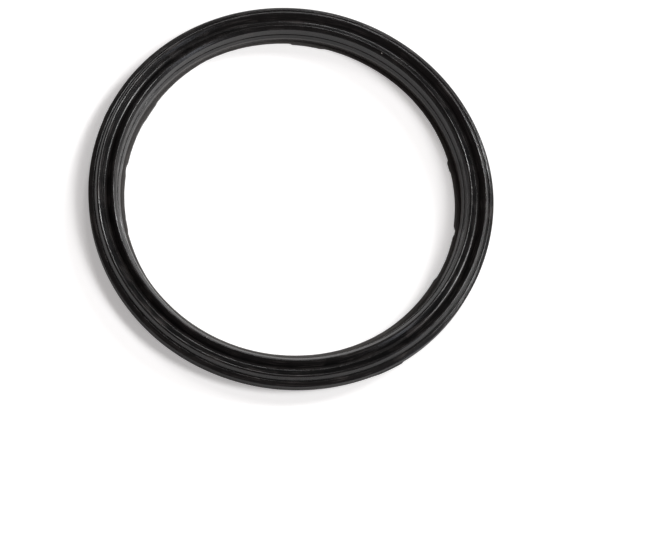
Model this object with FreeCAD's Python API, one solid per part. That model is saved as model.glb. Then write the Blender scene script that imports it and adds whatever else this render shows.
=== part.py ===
import FreeCAD, Part
import math
import os

from FreeCAD import Vector

# A moulded rubber cover gasket: one ring that lies on its flat base with two sealing lips up.
# Lengths are in millimetres and angles in degrees. Heights count from the base and radii from the
# ring's axis, which is +Z through the origin.

# Outer wall and shoulder. Each inset is measured in from the outer wall.
WALL_RADIUS = 65.1          # outer wall, which locates the ring in its recess
BEVEL_DEPTH = 0.45          # bevel between the base and the outer wall
BEVEL_HEIGHT = 0.9
WALL_TOP = 4.9              # top of the upright wall, where it leans in to the shoulder
SHOULDER_INSET = 1.35       # rounded shoulder above the outer wall
SHOULDER_TOP = 5.5
SHOULDER_ROUND = 0.45

# Outer sealing lip, which grows out of the valley behind the shoulder
VALLEY_INSET = 1.75
VALLEY_HEIGHT = 5.36
OUTER_LIP_INSET = 3.05      # crest line
OUTER_LIP_TOP = 6.95
OUTER_LIP_ROUND = 0.55

# Groove between the lips
GROOVE_INSET = 5.4          # lowest line
GROOVE_FLOOR = 5.3
GROOVE_ROUND = 0.95

# Inner sealing lip
INNER_LIP_INSET = 7.75      # crest line
INNER_LIP_TOP = 7.2
INNER_LIP_ROUND = 0.5

# Inner wall, from the edge below the lip to the foot, with the step that the mould left on it
WALL_EDGE_INSET = 8.9
WALL_EDGE_HEIGHT = 6.05
STEP_INSET = 9.5            # edge of the lower part, which stands a little further in
STEP_HEIGHT = 3.6
STEP_DEPTH = 0.2
STEP_FALL = 0.1             # slope of the step's upper face over its depth
BASE_WIDTH = 10.15          # from the outer wall to the upright foot of the inner wall
FOOT_HEIGHT = 1.75

# Flash: the thin ragged fins that the mould left along the base's inner edge and on the outer wall
FLASH_THICKNESS = 0.3
FLASH_ROOT = 0.5                # how deep a fin is rooted in the ring
INNER_FLASH_REACH = 1.0         # how far the inner fin stands out where its share is 1
OUTER_FLASH_REACH = 0.2         # the same for the fins on the outer wall
SHOULDER_FLASH_HEIGHT = 3.5     # underside of the fin below the shoulder
BEVEL_FLASH_HEIGHT = 0.9        # underside of the fin above the bevel

# Free edge of each fin: angle from +X towards +Y, and the share of the reach that it has there. A
# share below zero lies inside the rubber, so the fin is missing there.
NO_FLASH = -1.2
INNER_FLASH = (
    (9.5, 1.48),
    (10.5, 1.72),
    (13.5, 1.72),
    (14.5, 1.32),
    (30.0, 1.18),
    (60.0, 1.12),
    (77.0, 0.92),
    (78.5, 1.18),
    (88.5, 1.00),
    (89.5, 0.68),
    (120.0, 0.42),
    (143.5, 1.05),
    (145.0, 1.30),
    (151.5, 1.42),
    (153.0, 1.26),
    (169.0, 1.30),
    (170.5, 1.04),
    (172.0, 1.06),
    (174.0, 1.27),
    (193.5, 1.06),
    (195.0, 0.82),
    (197.5, 0.86),
    (212.0, 0.62),
    (240.0, 0.87),
    (270.0, 1.10),
    (300.0, 1.07),
    (328.0, 1.34),
    (331.0, 1.16),
    (336.0, 1.00),
    (345.5, 1.00),
    (346.5, 0.74),
    (348.0, 0.74),
    (349.5, 1.28),
)
SHOULDER_FLASH = (
    (13.0, 1.2),
    (16.0, NO_FLASH),
    (139.0, NO_FLASH),
    (143.0, 0.9),
    (158.0, 1.2),
    (162.0, NO_FLASH),
    (345.0, NO_FLASH),
    (349.0, 1.2),
)
BEVEL_FLASH = (
    (288.0, NO_FLASH),
    (294.0, 0.9),
    (301.0, 1.2),
    (302.0, NO_FLASH),
)

RING_SECTORS = 5            # equal sectors that the ring is turned in

# Radii that follow from the outer wall
BEVEL_RADIUS = WALL_RADIUS - BEVEL_DEPTH
SHOULDER_RADIUS = WALL_RADIUS - SHOULDER_INSET
VALLEY_RADIUS = WALL_RADIUS - VALLEY_INSET
OUTER_LIP_RADIUS = WALL_RADIUS - OUTER_LIP_INSET
GROOVE_RADIUS = WALL_RADIUS - GROOVE_INSET
INNER_LIP_RADIUS = WALL_RADIUS - INNER_LIP_INSET
WALL_EDGE_RADIUS = WALL_RADIUS - WALL_EDGE_INSET
STEP_RADIUS = WALL_RADIUS - STEP_INSET
FOOT_RADIUS = WALL_RADIUS - BASE_WIDTH

NODE = "cover_gasket"


def point(radius, height):
    """A point of the section, which is drawn in the XZ plane."""
    return Vector(radius, 0, height)


def section_rounds():
    """The section's corners in order, as (radius, height, rounding) of each rounding's centre.

    The order runs with the rubber on its left. A rounding above zero turns left, as an outer
    corner does, one below zero turns right, and zero is a sharp corner.
    """
    return (
        (FOOT_RADIUS, 0, 0),
        (BEVEL_RADIUS, 0, 0),
        (WALL_RADIUS, BEVEL_HEIGHT, 0),
        (WALL_RADIUS, WALL_TOP, 0),
        (SHOULDER_RADIUS, SHOULDER_TOP - SHOULDER_ROUND, SHOULDER_ROUND),
        (VALLEY_RADIUS, VALLEY_HEIGHT, 0),
        (OUTER_LIP_RADIUS, OUTER_LIP_TOP - OUTER_LIP_ROUND, OUTER_LIP_ROUND),
        (GROOVE_RADIUS, GROOVE_FLOOR + GROOVE_ROUND, -GROOVE_ROUND),
        (INNER_LIP_RADIUS, INNER_LIP_TOP - INNER_LIP_ROUND, INNER_LIP_ROUND),
        (WALL_EDGE_RADIUS, WALL_EDGE_HEIGHT, 0),
        (STEP_RADIUS + STEP_DEPTH, STEP_HEIGHT + STEP_FALL, 0),
        (STEP_RADIUS, STEP_HEIGHT, 0),
        (FOOT_RADIUS, FOOT_HEIGHT, 0),
    )


def tangent_direction(start, end):
    """The angle of the outward normal of the straight line that touches two roundings."""
    across = end[0] - start[0]
    up = end[1] - start[1]
    reach = math.hypot(across, up)
    return math.atan2(up, across) - math.acos((start[2] - end[2]) / reach)


def on_rounding(corner, direction):
    """The point of a rounding that lies in a direction from its centre."""
    return point(
        corner[0] + corner[2] * math.cos(direction),
        corner[1] + corner[2] * math.sin(direction),
    )


def section_wire(corners):
    """One closed wire of straight lines, each touching two roundings, joined by their arcs."""
    count = len(corners)
    normals = [tangent_direction(corners[i], corners[(i + 1) % count]) for i in range(count)]
    edges = []
    for i, corner in enumerate(corners):
        before = normals[i - 1]
        after = normals[i]
        if corner[2]:
            turn = math.remainder(after - before, 2 * math.pi)
            first = on_rounding(corner, before)
            middle = on_rounding(corner, before + turn / 2)
            last = on_rounding(corner, after)
            edges.append(Part.Arc(first, middle, last).toShape())
        following = corners[(i + 1) % count]
        line_start = on_rounding(corner, after)
        line_end = on_rounding(following, after)
        edges.append(Part.LineSegment(line_start, line_end).toShape())
    return Part.Wire(edges)


def ring_body():
    """The ring without its flash: the section turned round the axis.

    It is turned as equal sectors, because a rounded face that closes on itself is meshed much more
    finely than its parts are.
    """
    step = 360 / RING_SECTORS
    face = Part.Face(section_wire(section_rounds()))
    sector = face.revolve(Vector(0, 0, 0), Vector(0, 0, 1), step)
    others = []
    for i in range(1, RING_SECTORS):
        other = sector.copy()
        other.rotate(Vector(0, 0, 0), Vector(0, 0, 1), i * step)
        others.append(other)
    return sector.fuse(others)


def polar(radius, angle):
    """A point at a radius and an angle in the plane of the base."""
    return Vector(
        radius * math.cos(math.radians(angle)),
        radius * math.sin(math.radians(angle)),
        0,
    )


def ragged_edge(shares, root_radius, reach):
    """The free edge of a fin: an arc from each point of its list to the next.

    Args:
        shares: angle and share of the reach at each point of the edge, in order.
        root_radius: radius of the wall that the fin stands on.
        reach: how far the fin stands out where its share is 1, below zero for one that stands
            inwards.
    """
    count = len(shares)
    edges = []
    for i, (start, share) in enumerate(shares):
        end, next_share = shares[(i + 1) % count]
        span = (end - start) % 360
        middle_share = (share + next_share) / 2
        first = polar(root_radius + reach * share, start)
        middle = polar(root_radius + reach * middle_share, start + span / 2)
        last = polar(root_radius + reach * next_share, end)
        edges.append(Part.Arc(first, middle, last).toShape())
    return Part.Wire(edges)


def fin(shares, root_radius, reach, underside):
    """A flash fin, from inside the rubber to its ragged edge."""
    outward = math.copysign(1, reach)
    root = Part.Face(Part.Wire(Part.makeCircle(root_radius - outward * FLASH_ROOT)))
    free = Part.Face(ragged_edge(shares, root_radius, reach))
    face = free.cut(root) if outward > 0 else root.cut(free)
    face.translate(Vector(0, 0, underside))
    return face.extrude(Vector(0, 0, FLASH_THICKNESS))


def cover_gasket():
    """The whole ring as one solid, with the flash grown into it."""
    fins = [
        fin(INNER_FLASH, FOOT_RADIUS, -INNER_FLASH_REACH, 0),
        fin(SHOULDER_FLASH, WALL_RADIUS, OUTER_FLASH_REACH, SHOULDER_FLASH_HEIGHT),
        fin(BEVEL_FLASH, WALL_RADIUS, OUTER_FLASH_REACH, BEVEL_FLASH_HEIGHT),
    ]
    return ring_body().fuse(fins).Solids[0]


os.makedirs("parts", exist_ok=True)
gasket = cover_gasket()
gasket.exportStep(os.path.join("parts", NODE + ".step"))
box = gasket.BoundBox
print(NODE, "valid", gasket.isValid(), "volume", round(gasket.Volume, 1))
print("size", round(box.XLength, 3), round(box.YLength, 3), round(box.ZLength, 3))
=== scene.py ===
import logging
import math
from dataclasses import dataclass
from enum import Enum
from typing import Any

import bmesh
import bpy
from bmesh.types import BMEdge, BMesh, BMVert
from mathutils import Matrix, Vector, noise


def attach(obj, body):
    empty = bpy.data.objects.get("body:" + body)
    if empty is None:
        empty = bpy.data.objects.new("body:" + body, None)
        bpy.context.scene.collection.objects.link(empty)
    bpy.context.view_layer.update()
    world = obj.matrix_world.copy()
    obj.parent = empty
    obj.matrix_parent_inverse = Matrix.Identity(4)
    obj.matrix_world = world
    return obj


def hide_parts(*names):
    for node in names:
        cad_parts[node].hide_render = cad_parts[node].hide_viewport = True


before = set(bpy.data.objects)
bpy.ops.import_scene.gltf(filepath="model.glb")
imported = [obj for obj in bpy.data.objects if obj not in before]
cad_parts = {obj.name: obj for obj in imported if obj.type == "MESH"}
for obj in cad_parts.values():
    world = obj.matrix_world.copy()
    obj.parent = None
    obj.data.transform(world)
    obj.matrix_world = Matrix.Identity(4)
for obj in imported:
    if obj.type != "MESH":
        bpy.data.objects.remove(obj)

MM = 0.001
FULL_TURN = 2 * math.pi
TURN_STEPS = 360
SAME_PLACE = 0.001 * MM
NOISE_MIDDLE = 0.5
RING_NODE = "cover_gasket"
BODY = "root"
LOG = logging.getLogger("cover_gasket")


class Side(Enum):
    """The side of a wall on which a flash fin stands."""

    INWARD = -1
    OUTWARD = 1


class Skin(Enum):
    """The parts of the ring's surface, as the places of their finishes in its list."""

    LIPS = 0
    OUTER_WALL = 1
    FOOT = 2


class Value:
    """A number socket that takes part in plain arithmetic, which adds its Math nodes."""

    def __init__(self, graph: "ShaderGraph", socket: bpy.types.NodeSocket) -> None:
        """Wraps a socket.

        Args:
            graph: the graph that the socket belongs to.
            socket: a node's output that carries a number.
        """
        self.graph = graph
        self.socket = socket

    def math(self, operation: str, *others: "Value | float") -> "Value":
        """Adds a Math node with this value first.

        Args:
            operation: the Math node's operation.
            others: its further operands.

        Returns:
            The result.
        """
        return self.graph.math(operation, self, *others)

    def __add__(self, other: "Value | float") -> "Value":
        """The sum."""
        return self.math("ADD", other)

    def __radd__(self, other: float) -> "Value":
        """The sum, with a number first."""
        return self.math("ADD", other)

    def __sub__(self, other: "Value | float") -> "Value":
        """The difference."""
        return self.math("SUBTRACT", other)

    def __rsub__(self, other: float) -> "Value":
        """The difference, with a number first."""
        return self.graph.math("SUBTRACT", other, self)

    def __mul__(self, other: "Value | float") -> "Value":
        """The product."""
        return self.math("MULTIPLY", other)

    def __rmul__(self, other: float) -> "Value":
        """The product, with a number first."""
        return self.math("MULTIPLY", other)

    def __truediv__(self, other: "Value | float") -> "Value":
        """The quotient."""
        return self.math("DIVIDE", other)

    def __rtruediv__(self, other: float) -> "Value":
        """The quotient, with a number first."""
        return self.graph.math("DIVIDE", other, self)

    def ramp(self, limits: tuple[float, float]) -> "Value":
        """Adds a smooth rise from 0 to 1.

        Args:
            limits: the value up to which it is 0, and the one from which it is 1.

        Returns:
            The risen value.
        """
        made = self.graph.node(
            "ShaderNodeMapRange",
            {"interpolation_type": "SMOOTHSTEP"},
            {"Value": self, "From Min": limits[0], "From Max": limits[1]},
        )
        return Value(self.graph, made.outputs["Result"])


class ShaderGraph:
    """The nodes of one material."""

    def __init__(self, name: str) -> None:
        """Starts an empty material.

        Args:
            name: the material's name.
        """
        self.material = bpy.data.materials.new(name)
        self.material.use_nodes = True
        self.tree = self.material.node_tree
        self.tree.nodes.clear()

    def node(
        self, kind: str, settings: dict[str, Any], inputs: dict[str, Any]
    ) -> bpy.types.Node:
        """Adds a node.

        Args:
            kind: the node's type name.
            settings: properties of the node, which are set first.
            inputs: a value, socket or Value for each named or numbered input.

        Returns:
            The new node.
        """
        made = self.tree.nodes.new(kind)
        for key, setting in settings.items():
            setattr(made, key, setting)
        for key, given in inputs.items():
            source = given.socket if isinstance(given, Value) else given
            if isinstance(source, bpy.types.NodeSocket):
                self.tree.links.new(source, made.inputs[key])
            else:
                made.inputs[key].default_value = source
        return made

    def math(self, operation: str, *operands: Value | float) -> Value:
        """Adds a Math node.

        Args:
            operation: the node's operation.
            operands: its operands in order.

        Returns:
            The result.
        """
        inputs = dict(enumerate(operands))
        made = self.node("ShaderNodeMath", {"operation": operation}, inputs)
        return Value(self, made.outputs[0])

    def noise(
        self, vector: bpy.types.NodeSocket, w: Value | float, scale: float, detail: float
    ) -> Value:
        """Adds four-dimensional noise.

        Args:
            vector: the place, as three coordinates.
            w: the fourth coordinate.
            scale: how many features one unit holds.
            detail: how many finer layers are added.

        Returns:
            The noise, from 0 to 1.
        """
        made = self.node(
            "ShaderNodeTexNoise",
            {"noise_dimensions": "4D"},
            {"Vector": vector, "W": w, "Scale": scale, "Detail": detail},
        )
        return Value(self, made.outputs["Fac"])

    def blend(self, factor: Value, first: Any, second: Any) -> bpy.types.NodeSocket:
        """Mixes two colours.

        Args:
            factor: 0 for the first colour and 1 for the second.
            first: a colour or a colour socket.
            second: a colour or a colour socket.

        Returns:
            The mixed colour's socket.
        """
        made = self.node(
            "ShaderNodeMix",
            {"data_type": "RGBA"},
            {"Factor": factor, "A": first, "B": second},
        )
        return next(output for output in made.outputs if output.type == "RGBA")

    def object_place(self) -> bpy.types.NodeSocket:
        """The place on the piece, in its own coordinates."""
        return self.node("ShaderNodeTexCoord", {}, {}).outputs["Object"]

    def finish(self, shader: bpy.types.NodeSocket) -> bpy.types.Material:
        """Sends the shader to the material's output and returns the material."""
        self.node("ShaderNodeOutputMaterial", {}, {"Surface": shader})
        return self.material


def grey(level: float) -> tuple[float, float, float, float]:
    """An opaque neutral colour."""
    return (level, level, level, 1.0)


@dataclass(frozen=True)
class RubberFinish:
    """Moulded black rubber with fine turning lines from the mould and a trace of dust."""

    name: str = "moulded_rubber"
    colour: tuple[float, float, float, float] = (0.005, 0.005, 0.0052, 1.0)
    dusty_colour: tuple[float, float, float, float] = (0.036, 0.032, 0.031, 1.0)
    roughness: float = 0.24
    roughness_spread: float = 0.12
    specular: float = 0.44
    ior: float = 1.5
    line_spacing: float = 0.36 * MM
    line_runs: float = 7.0
    line_detail: float = 2.0
    line_depth: float = 0.055 * MM
    grain_size: float = 0.30 * MM
    grain_detail: float = 1.0
    grain_depth: float = 0.020 * MM
    dust_patch: float = 6.0 * MM
    dust_detail: float = 4.0
    dust_in_patches: tuple[float, float] = (0.38, 0.66)
    dust_on_lines: tuple[float, float] = (0.44, 0.64)

    def build(self) -> bpy.types.Material:
        """Makes the material.

        Returns:
            The finished material.
        """
        graph = ShaderGraph(self.name)
        place = graph.object_place()
        split = graph.node("ShaderNodeSeparateXYZ", {}, {"Vector": place})
        x, y, z = (Value(graph, split.outputs[i]) for i in range(3))
        radius = graph.math("SQRT", x * x + y * y)
        across = graph.node(
            "ShaderNodeCombineXYZ",
            {},
            {
                "X": x / radius * self.line_runs,
                "Y": y / radius * self.line_runs,
                "Z": z / self.line_spacing,
            },
        ).outputs["Vector"]
        lines = graph.noise(across, radius / self.line_spacing, 1.0, self.line_detail)
        grain = graph.noise(place, 0.0, 1 / self.grain_size, self.grain_detail)
        patches = graph.noise(place, 0.0, 1 / self.dust_patch, self.dust_detail)
        dust = patches.ramp(self.dust_in_patches) * lines.ramp(self.dust_on_lines)
        colour = graph.blend(dust, self.colour, self.dusty_colour)
        roughness = self.roughness + self.roughness_spread * (patches - NOISE_MIDDLE)
        height = lines * self.line_depth + grain * self.grain_depth
        relief = graph.node("ShaderNodeBump", {}, {"Distance": 1.0, "Height": height})
        surface = graph.node(
            "ShaderNodeBsdfPrincipled",
            {},
            {
                "Base Color": colour,
                "Roughness": roughness,
                "IOR": self.ior,
                "Specular IOR Level": self.specular,
                "Normal": relief.outputs["Normal"],
            },
        )
        return graph.finish(surface.outputs["BSDF"])


@dataclass(frozen=True)
class LintFinish:
    """Pale lint and dust specks that lie on the rubber."""

    name: str = "pale_lint"
    colour: tuple[float, float, float, float] = (0.62, 0.59, 0.56, 1.0)
    shade: tuple[float, float, float, float] = (0.34, 0.32, 0.30, 1.0)
    roughness: float = 0.9
    fleck_size: float = 0.2 * MM
    fleck_detail: float = 2.0
    fleck_limits: tuple[float, float] = (0.35, 0.65)

    def build(self) -> bpy.types.Material:
        """Makes the material.

        Returns:
            The finished material.
        """
        graph = ShaderGraph(self.name)
        place = graph.object_place()
        flecks = graph.noise(place, 0.0, 1 / self.fleck_size, self.fleck_detail)
        colour = graph.blend(flecks.ramp(self.fleck_limits), self.shade, self.colour)
        surface = graph.node(
            "ShaderNodeBsdfPrincipled",
            {},
            {"Base Color": colour, "Roughness": self.roughness},
        )
        return graph.finish(surface.outputs["BSDF"])


@dataclass(frozen=True)
class FloorFinish:
    """A white table top that keeps the ring's shadow.

    What the camera sees of it, straight on or in a reflection, is lifted to a clean white.
    """

    name: str = "white_table"
    level: float = 0.92
    roughness: float = 0.9
    seen_lift: float = 0.33

    def build(self) -> bpy.types.Material:
        """Makes the material.

        Returns:
            The finished material.
        """
        graph = ShaderGraph(self.name)
        rays = graph.node("ShaderNodeLightPath", {}, {}).outputs
        kinds = ("Is Camera Ray", "Is Glossy Ray", "Is Transmission Ray")
        direct, reflected, through = (Value(graph, rays[kind]) for kind in kinds)
        seen = direct.math("MAXIMUM", reflected).math("MAXIMUM", through)
        surface = graph.node(
            "ShaderNodeBsdfPrincipled",
            {},
            {
                "Base Color": grey(self.level),
                "Roughness": self.roughness,
                "Specular IOR Level": 0.0,
                "Emission Color": graph.blend(seen, grey(0.0), grey(self.seen_lift)),
                "Emission Strength": 1.0,
            },
        )
        return graph.finish(surface.outputs["BSDF"])


LIP_RUBBER = RubberFinish()
WALL_RUBBER = RubberFinish("dull_rubber", roughness=0.55, specular=0.14)
# Paler rubber for the thin inner flash and the foot of the inner wall. On the flash its grey is
# partly the thin rubber's own tone and partly painted fill light. On the foot it is painted fill
# light: a paler colour that stands in for the floor's bounce light in the shade there.
PALE_AND_PAINTED_FILL_RUBBER = RubberFinish(
    "thin_rubber_with_painted_fill", colour=(0.075, 0.072, 0.070, 1.0), dusty_colour=(0.10, 0.095, 0.09, 1.0)
)


@dataclass(frozen=True)
class Corner:
    """A corner of a section: where its two sides would meet, and the rounding between them."""

    radius: float
    height: float
    rounding: float = 0.0
    segments: int = 2


@dataclass(frozen=True)
class Bulge:
    """A place where the soft ring lies a little out of round: its angle and width in degrees."""

    angle: float
    width: float
    reach: float

    def at(self, angle: float) -> float:
        """How far the ring is pushed out at an angle in degrees, in metres."""
        away = math.remainder(angle - self.angle, 360) / self.width
        return self.reach * math.exp(-away * away)


BULGES = (
    Bulge(2, 16, 0.23 * MM),
    Bulge(75, 18, 0.04 * MM),
    Bulge(168, 26, -0.22 * MM),
    Bulge(232, 14, 0.09 * MM),
    Bulge(304, 20, 0.27 * MM),
)


def out_of_round(angle: float) -> float:
    """How far the whole ring is pushed out at an angle in degrees, in metres."""
    return sum(bulge.at(angle) for bulge in BULGES)


def angle_of(vert: BMVert) -> float:
    """A vertex's angle round the axis, in degrees from 0 to 360."""
    return math.degrees(math.atan2(vert.co.y, vert.co.x)) % 360


def set_radius(vert: BMVert, radius: float) -> None:
    """Moves a vertex along its own direction from the axis to a radius in metres."""
    factor = radius / math.hypot(vert.co.x, vert.co.y)
    vert.co.x *= factor
    vert.co.y *= factor


def runs_round(edge: BMEdge) -> bool:
    """Whether an edge runs round the axis, at one radius and height."""
    first, second = (vert.co for vert in edge.verts)
    outward = math.hypot(second.x, second.y) - math.hypot(first.x, first.y)
    return abs(outward) + abs(second.z - first.z) < SAME_PLACE


def rounded_section(bm: BMesh, corners: tuple[Corner, ...]) -> None:
    """Draws a closed section in the XZ plane, as edges without a face.

    Args:
        bm: an empty mesh, which gets the section.
        corners: the section's corners in order.
    """
    places = [Vector((corner.radius, 0, corner.height)) for corner in corners]
    verts = [bm.verts.new(place) for place in places]
    bm.faces.new(verts)
    count = len(corners)
    for i, corner in enumerate(corners):
        if corner.rounding:
            before = places[i] - places[i - 1]
            after = places[(i + 1) % count] - places[i]
            bmesh.ops.bevel(
                bm,
                geom=[verts[i]],
                offset=corner.rounding * math.tan(before.angle(after) / 2),
                offset_type="OFFSET",
                segments=corner.segments,
                profile=0.5,
                affect="VERTICES",
                clamp_overlap=False,
                material=-1,
            )
    bmesh.ops.delete(bm, geom=bm.faces[:], context="FACES_ONLY")


def spin_round(bm: BMesh) -> None:
    """Turns a mesh that holds a section once round the axis, into a closed skin."""
    bmesh.ops.spin(
        bm,
        geom=bm.verts[:] + bm.edges[:],
        cent=(0, 0, 0),
        axis=(0, 0, 1),
        dvec=(0, 0, 0),
        angle=FULL_TURN,
        space=Matrix.Identity(4),
        steps=TURN_STEPS,
        use_merge=True,
        use_normal_flip=False,
        use_duplicate=False,
    )


def to_piece(bm: BMesh, name: str, *finishes: bpy.types.Material) -> bpy.types.Object:
    """Turns a finished mesh into a piece that moves with the ring.

    Args:
        bm: the mesh, which is freed.
        name: the piece's name.
        finishes: the piece's materials in order.

    Returns:
        The new object, at the origin.
    """
    bmesh.ops.recalc_face_normals(bm, faces=bm.faces[:])
    for face in bm.faces:
        face.smooth = True
    mesh = bpy.data.meshes.new(name)
    bm.to_mesh(mesh)
    bm.free()
    for finish in finishes:
        mesh.materials.append(finish)
    piece = bpy.data.objects.new(name, mesh)
    bpy.context.scene.collection.objects.link(piece)
    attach(piece, BODY)
    return piece


@dataclass
class LippedRing:
    """The moulded ring with its two sealing lips, from which the flash grows.

    Insets are measured in from the outer wall, and widths out from the foot of the inner wall. They
    and the heights say where the sides of the section would meet if its corners weren't rounded.
    """

    wall_radius: float = 65.07 * MM
    bevel_depth: float = 0.43 * MM
    bevel_height: float = 0.90 * MM
    wall_top: float = 4.80 * MM
    shoulder_inset: float = 1.28 * MM
    shoulder_height: float = 5.58 * MM
    shoulder_round: float = 0.45 * MM
    valley_inset: float = 1.72 * MM
    valley_height: float = 5.36 * MM
    outer_lip_inset: float = 2.93 * MM
    outer_lip_height: float = 7.28 * MM
    outer_lip_round: float = 0.55 * MM
    groove_inset: float = 5.44 * MM
    groove_height: float = 4.85 * MM
    groove_round: float = 0.85 * MM
    inner_lip_inset: float = 7.75 * MM
    inner_lip_height: float = 7.47 * MM
    inner_lip_round: float = 0.50 * MM
    wall_edge_inset: float = 8.85 * MM
    wall_edge_height: float = 6.05 * MM
    wall_edge_round: float = 0.30 * MM
    foot_radius: float = 54.95 * MM
    step_root_width: float = 0.85 * MM
    step_root_height: float = 3.72 * MM
    step_edge_width: float = 0.63 * MM
    step_edge_height: float = 3.60 * MM
    foot_edge_width: float = 0.03 * MM
    foot_edge_height: float = 1.75 * MM
    foot_hollow_width: float = 0.18 * MM
    foot_hollow_height: float = 1.10 * MM
    foot_height: float = 0.30 * MM
    wall_skin: float = 0.06 * MM
    foot_skin: float = 0.25 * MM
    crest_height: float = 7.15 * MM
    crest_drift: float = 0.03 * MM
    crest_drift_runs: float = 3.0
    long_flat: float = 0.9 * MM
    flat_cuts: int = 2

    def corners(self) -> tuple[Corner, ...]:
        """The section's corners in order, with the rubber on their left."""
        wall = self.wall_radius
        foot = self.foot_radius
        return (
            Corner(foot, 0),
            Corner(wall - self.bevel_depth, 0, 0.10 * MM),
            Corner(wall, self.bevel_height, 0.30 * MM),
            Corner(wall, self.wall_top, 0.35 * MM, 5),
            Corner(wall - self.shoulder_inset, self.shoulder_height, self.shoulder_round, 8),
            Corner(wall - self.valley_inset, self.valley_height, 0.08 * MM),
            Corner(wall - self.outer_lip_inset, self.outer_lip_height, self.outer_lip_round, 10),
            Corner(wall - self.groove_inset, self.groove_height, self.groove_round, 12),
            Corner(wall - self.inner_lip_inset, self.inner_lip_height, self.inner_lip_round, 10),
            Corner(wall - self.wall_edge_inset, self.wall_edge_height, self.wall_edge_round, 3),
            Corner(foot + self.step_root_width, self.step_root_height, 0.04 * MM),
            Corner(foot + self.step_edge_width, self.step_edge_height, 0.08 * MM),
            Corner(foot + self.foot_edge_width, self.foot_edge_height, 0.15 * MM, 3),
            Corner(foot + self.foot_hollow_width, self.foot_hollow_height, 0.12 * MM),
            Corner(foot, self.foot_height),
        )

    def skin_at(self, place: Vector) -> Skin:
        """The part of the ring's surface that a place on it belongs to."""
        radius = math.hypot(place.x, place.y)
        if radius > self.wall_radius - self.wall_skin:
            return Skin.OUTER_WALL
        # The foot of the inner wall gets the paler rubber, whose colour paints fill light into its
        # shade.
        if radius < self.foot_radius + self.foot_skin and place.z > 0:
            return Skin.FOOT
        return Skin.LIPS

    def build(self, finishes: dict[Skin, bpy.types.Material]) -> bpy.types.Object:
        """Makes the ring.

        Args:
            finishes: the material of each part of its surface.

        Returns:
            The ring, which stands for the plain node.
        """
        bm = bmesh.new()
        rounded_section(bm, self.corners())
        flats = [edge for edge in bm.edges if edge.calc_length() > self.long_flat]
        bmesh.ops.subdivide_edges(bm, edges=flats, cuts=self.flat_cuts)
        spin_round(bm)
        for face in bm.faces:
            face.material_index = self.skin_at(face.calc_center_median()).value
        for vert in bm.verts:
            self.settle(vert)
        piece = to_piece(bm, "lipped_ring", *(finishes[skin] for skin in Skin))
        weighting = piece.modifiers.new("even_shading", "WEIGHTED_NORMAL")
        weighting.keep_sharp = True
        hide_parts(RING_NODE)
        return piece

    def settle(self, vert: BMVert) -> None:
        """Moves one vertex as the soft rubber lies: out of round, and uneven towards its crests."""
        angle = angle_of(vert)
        radius = math.hypot(vert.co.x, vert.co.y)
        runs = self.crest_drift_runs / radius
        drift = noise.noise(Vector((vert.co.x * runs, vert.co.y * runs, 0)))
        set_radius(vert, radius + out_of_round(angle))
        vert.co.z *= 1 - self.crest_drift * (1 + drift) / 2 / self.crest_height


@dataclass
class FlashFin:
    """A thin ragged fin of rubber that the mould left along a wall.

    Its section is drawn with its full reach, which then becomes the reach at each angle.
    """

    name: str
    wall_radius: float
    underside: float
    side: Side
    reaches: tuple[tuple[float, float], ...]
    follows_ring: bool = True
    reach_scale: float = 1.0
    full_reach: float = 1.0 * MM
    thickness: float = 0.30 * MM
    root_depth: float = 0.45 * MM
    edge_rounding: float = 0.10 * MM
    fine_cuts: int = 4
    tear_size: float = 0.035 * MM
    tears_round: float = 160.0

    def reach_at(self, angle: float) -> float:
        """How far the fin reaches from its wall at an angle.

        Args:
            angle: the angle in degrees, from 0 to 360.

        Returns:
            The reach in metres.
        """
        millimetres = self.reaches[0][1]
        count = len(self.reaches)
        for i, (start, reach) in enumerate(self.reaches):
            end, next_reach = self.reaches[(i + 1) % count]
            span = (end - start) % 360
            along = (angle - start) % 360
            if along <= span:
                millimetres = reach + (next_reach - reach) * along / span
                break
        return millimetres * self.reach_scale * MM

    def build(self, finish: bpy.types.Material) -> bpy.types.Object:
        """Makes the fin.

        Args:
            finish: the fin's material.

        Returns:
            The fin as its own piece.
        """
        bm = bmesh.new()
        out = self.side.value
        root = self.wall_radius - out * self.root_depth
        tip = self.wall_radius + out * self.full_reach
        top = self.underside + self.thickness
        section = (
            Corner(root, self.underside),
            Corner(tip, self.underside, self.edge_rounding),
            Corner(tip, top, self.edge_rounding),
            Corner(root, top),
        )
        rounded_section(bm, section)
        spin_round(bm)
        round_edges = [edge for edge in bm.edges if runs_round(edge)]
        bmesh.ops.subdivide_edges(
            bm, edges=round_edges, cuts=self.fine_cuts, use_grid_fill=True
        )
        for vert in bm.verts:
            self.tear(vert)
        piece = to_piece(bm, self.name, finish)
        return piece

    def tear(self, vert: BMVert) -> None:
        """Moves one vertex of the free edge to where the torn fin ends."""
        angle = angle_of(vert)
        radius = math.hypot(vert.co.x, vert.co.y)
        spread = out_of_round(angle) if self.follows_ring else 0.0
        stands_out = (radius - self.wall_radius) * self.side.value
        if stands_out > 0:
            place = Vector((vert.co.x, vert.co.y, 0)) / radius * self.tears_round / FULL_TURN
            reach = self.reach_at(angle)
            if reach > 0:
                reach += self.tear_size * noise.noise(place)
            radius = self.wall_radius + self.side.value * reach * stands_out / self.full_reach
        set_radius(vert, radius + spread)


@dataclass(frozen=True)
class Speck:
    """One pale speck of lint: where it lies, how long it is and how it is turned, in degrees."""

    radius: float
    angle: float
    height: float
    length: float
    turn: float


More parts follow.
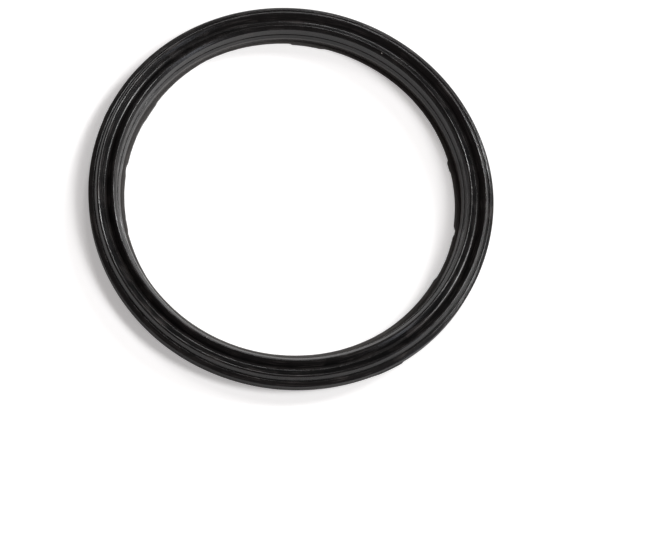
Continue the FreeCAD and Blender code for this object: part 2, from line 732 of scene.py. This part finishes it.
@dataclass
class Lint:
    """The few specks of lint that lie on the ring."""

    specks: tuple[Speck, ...]
    width_share: float = 0.55
    thickness: float = 0.05 * MM
    subdivisions: int = 2

    def build(self, finish: bpy.types.Material) -> bpy.types.Object:
        """Makes all the specks as one piece.

        Args:
            finish: the specks' material.

        Returns:
            The specks.
        """
        bm = bmesh.new()
        for speck in self.specks:
            angle = math.radians(speck.angle)
            half = speck.length / 2
            place = Matrix.Rotation(angle, 4, "Z") @ Matrix.Translation(
                (speck.radius, 0, speck.height)
            )
            lie = Matrix.Rotation(math.radians(speck.turn), 4, "Z")
            size = Matrix.Diagonal((half, half * self.width_share, self.thickness / 2, 1))
            bmesh.ops.create_icosphere(
                bm, subdivisions=self.subdivisions, radius=1, matrix=place @ lie @ size
            )
        return to_piece(bm, "lint_specks", finish)


@dataclass(frozen=True)
class Lamp:
    """One soft distant light: its direction, its strength and the angle that its disc fills."""

    name: str
    azimuth: float
    elevation: float
    strength: float
    spread: float
    colour: tuple[float, float, float] = (1.0, 1.0, 1.0)

    def build(self) -> None:
        """Makes the lamp, one metre from the ring's middle and turned to shine on it."""
        lamp = bpy.data.lights.new(self.name, "SUN")
        lamp.energy = self.strength
        lamp.angle = math.radians(self.spread)
        lamp.color = self.colour
        holder = bpy.data.objects.new(self.name, lamp)
        toward = direction(self.azimuth, self.elevation)
        holder.rotation_mode = "QUATERNION"
        holder.rotation_quaternion = toward.to_track_quat("Z", "Y")
        holder.location = toward
        bpy.context.scene.collection.objects.link(holder)


LAMPS = (
    Lamp("key_window", 0, 42, 1.50, 18),
    Lamp("high_window", 15, 52, 0.50, 16),
    Lamp("low_window", 34, 26, 1.45, 12),
    Lamp("back_window", 72, 44, 0.50, 14),
    Lamp("low_fill", 322, 12, 0.26, 18, (0.86, 0.90, 1.0)),
)


@dataclass
class Stage:
    """The white table, the light and the camera, which aren't part of the ring."""

    table_size: float = 6.0
    sky: tuple[float, float, float, float] = (0.150, 0.130, 0.127, 1.0)
    camera_azimuth: float = 256.0
    camera_elevation: float = 67.84
    camera_roll: float = 13.95
    camera_distance: float = 0.560
    aim_height: float = 0.003
    scale: float = 3.113 / MM
    frame_width: float = 648.0
    frame_height: float = 539.0
    ring_across: float = 292.34
    ring_down: float = 192.26
    sensor: float = 36.0
    clip_start: float = 0.01

    def build_table(self) -> None:
        """Makes the white table top in the plane of the ring's base."""
        bm = bmesh.new()
        bmesh.ops.create_grid(bm, x_segments=1, y_segments=1, size=self.table_size / 2)
        mesh = bpy.data.meshes.new("table_top")
        bm.to_mesh(mesh)
        bm.free()
        mesh.materials.append(FloorFinish().build())
        table = bpy.data.objects.new("table_top", mesh)
        bpy.context.scene.collection.objects.link(table)

    def build_sky(self) -> None:
        """Makes the plain, slightly warm surroundings."""
        world = bpy.data.worlds.new("studio")
        bpy.context.scene.world = world
        world.use_nodes = True
        background = world.node_tree.nodes["Background"]
        background.inputs["Color"].default_value = self.sky
        background.inputs["Strength"].default_value = 1.0

    def build_camera(self) -> None:
        """Makes the camera, swung until the ring's middle falls at its place in the frame."""
        back = direction(self.camera_azimuth, self.camera_elevation)
        level_up = (Vector((0, 0, 1)) - back * back.z).normalized()
        level_right = level_up.cross(back)
        roll = math.radians(self.camera_roll)
        up = math.cos(roll) * level_up - math.sin(roll) * level_right
        right = math.cos(roll) * level_right + math.sin(roll) * level_up
        facing = Matrix((right, up, back)).transposed()
        focal = self.scale * self.camera_distance
        aim = Vector(
            (
                (self.ring_across - self.frame_width / 2) / focal,
                (self.frame_height / 2 - self.ring_down) / focal,
                -1,
            )
        ).normalized()
        swing = aim.rotation_difference(Vector((0, 0, -1))).to_matrix()
        camera = bpy.data.cameras.new("camera")
        camera.sensor_width = self.sensor
        camera.lens = self.sensor * focal / self.frame_width
        camera.clip_start = self.clip_start
        holder = bpy.data.objects.new("camera", camera)
        place = (facing @ swing).to_4x4()
        place.translation = Vector((0, 0, self.aim_height)) + back * self.camera_distance
        holder.matrix_world = place
        bpy.context.scene.collection.objects.link(holder)
        bpy.context.scene.camera = holder

    def build(self) -> None:
        """Makes the table, the lights and the camera."""
        self.build_table()
        for lamp in LAMPS:
            lamp.build()
        self.build_sky()
        self.build_camera()
        bpy.context.scene.view_settings.view_transform = "Standard"


def direction(azimuth: float, elevation: float) -> Vector:
    """The unit vector towards an azimuth and an elevation, both in degrees."""
    turn = math.radians(azimuth)
    lift = math.radians(elevation)
    return Vector(
        (math.cos(lift) * math.cos(turn), math.cos(lift) * math.sin(turn), math.sin(lift))
    )


# Undersides of the fins, from the base up
INNER_UNDERSIDE = 0.0
SHOULDER_UNDERSIDE = 3.5 * MM
BEVEL_UNDERSIDE = 0.9 * MM

# Free edge of each fin: angle in degrees, and how far it stands out there, in millimetres. Below
# zero it lies inside the rubber, so the fin is missing there.
NO_FLASH = -0.25
INNER_SCALE = 1.2
INNER_REACHES = (
    (9.5, 1.48),
    (10.5, 1.72),
    (13.5, 1.72),
    (14.5, 1.32),
    (30.0, 1.18),
    (60.0, 1.12),
    (77.0, 0.92),
    (78.5, 1.18),
    (88.5, 1.00),
    (89.5, 0.68),
    (120.0, 0.42),
    (143.5, 1.05),
    (145.0, 1.30),
    (151.5, 1.42),
    (153.0, 1.26),
    (169.0, 1.30),
    (170.5, 1.04),
    (172.0, 1.06),
    (174.0, 1.27),
    (193.5, 1.06),
    (195.0, 0.82),
    (197.5, 0.86),
    (212.0, 0.62),
    (240.0, 0.87),
    (270.0, 1.10),
    (300.0, 1.07),
    (328.0, 1.38),
    (329.5, 1.08),
    (336.0, 1.00),
    (345.5, 1.00),
    (346.5, 0.74),
    (348.0, 0.74),
    (349.5, 1.28),
)
SHOULDER_REACHES = (
    (10.0, 0.04),
    (16.0, NO_FLASH),
    (139.0, NO_FLASH),
    (143.0, 0.18),
    (158.0, 0.24),
    (162.0, NO_FLASH),
    (345.0, NO_FLASH),
    (352.0, 0.04),
)
BEVEL_REACHES = (
    (288.0, NO_FLASH),
    (294.0, 0.18),
    (301.0, 0.24),
    (302.0, NO_FLASH),
)

# Lint: radius, angle, height, length and turn of each speck
SPECKS = (
    Speck(62.6 * MM, 15, 6.72 * MM, 0.55 * MM, 30),
    Speck(57.4 * MM, 41.5, 7.13 * MM, 0.40 * MM, 70),
    Speck(56.9 * MM, 58, 6.95 * MM, 0.50 * MM, 10),
    Speck(60.6 * MM, 148, 5.75 * MM, 0.40 * MM, 50),
    Speck(57.2 * MM, 241, 7.10 * MM, 0.55 * MM, 20),
    Speck(62.0 * MM, 278, 6.83 * MM, 0.80 * MM, 80),
)


def main() -> None:
    """Builds the ring, its flash, the lint on it and the stage."""
    logging.basicConfig(level=logging.INFO, format="%(name)s: %(message)s")
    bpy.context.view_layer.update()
    lip_rubber = LIP_RUBBER.build()
    thin_rubber_with_painted_fill = PALE_AND_PAINTED_FILL_RUBBER.build()
    wall_rubber = WALL_RUBBER.build()
    ring = LippedRing()
    wall = ring.wall_radius
    inner_flash = FlashFin(
        "inner_flash",
        ring.foot_radius,
        INNER_UNDERSIDE,
        Side.INWARD,
        INNER_REACHES,
        follows_ring=False,
        reach_scale=INNER_SCALE,
    )
    shoulder_flash = FlashFin(
        "shoulder_flash", wall, SHOULDER_UNDERSIDE, Side.OUTWARD, SHOULDER_REACHES
    )
    bevel_flash = FlashFin(
        "bevel_flash", wall, BEVEL_UNDERSIDE, Side.OUTWARD, BEVEL_REACHES
    )
    # The foot and the inner flash get the paler rubber, whose colour is partly painted fill light
    # in their shade.
    pieces = (
        ring.build(
            {Skin.LIPS: lip_rubber, Skin.OUTER_WALL: wall_rubber, Skin.FOOT: thin_rubber_with_painted_fill}
        ),
        inner_flash.build(thin_rubber_with_painted_fill),
        shoulder_flash.build(lip_rubber),
        bevel_flash.build(lip_rubber),
        Lint(SPECKS).build(LintFinish().build()),
    )
    for piece in pieces:
        LOG.info("%s: %d faces", piece.name, len(piece.data.polygons))
    Stage().build()


if __name__ == "__main__":
    main()
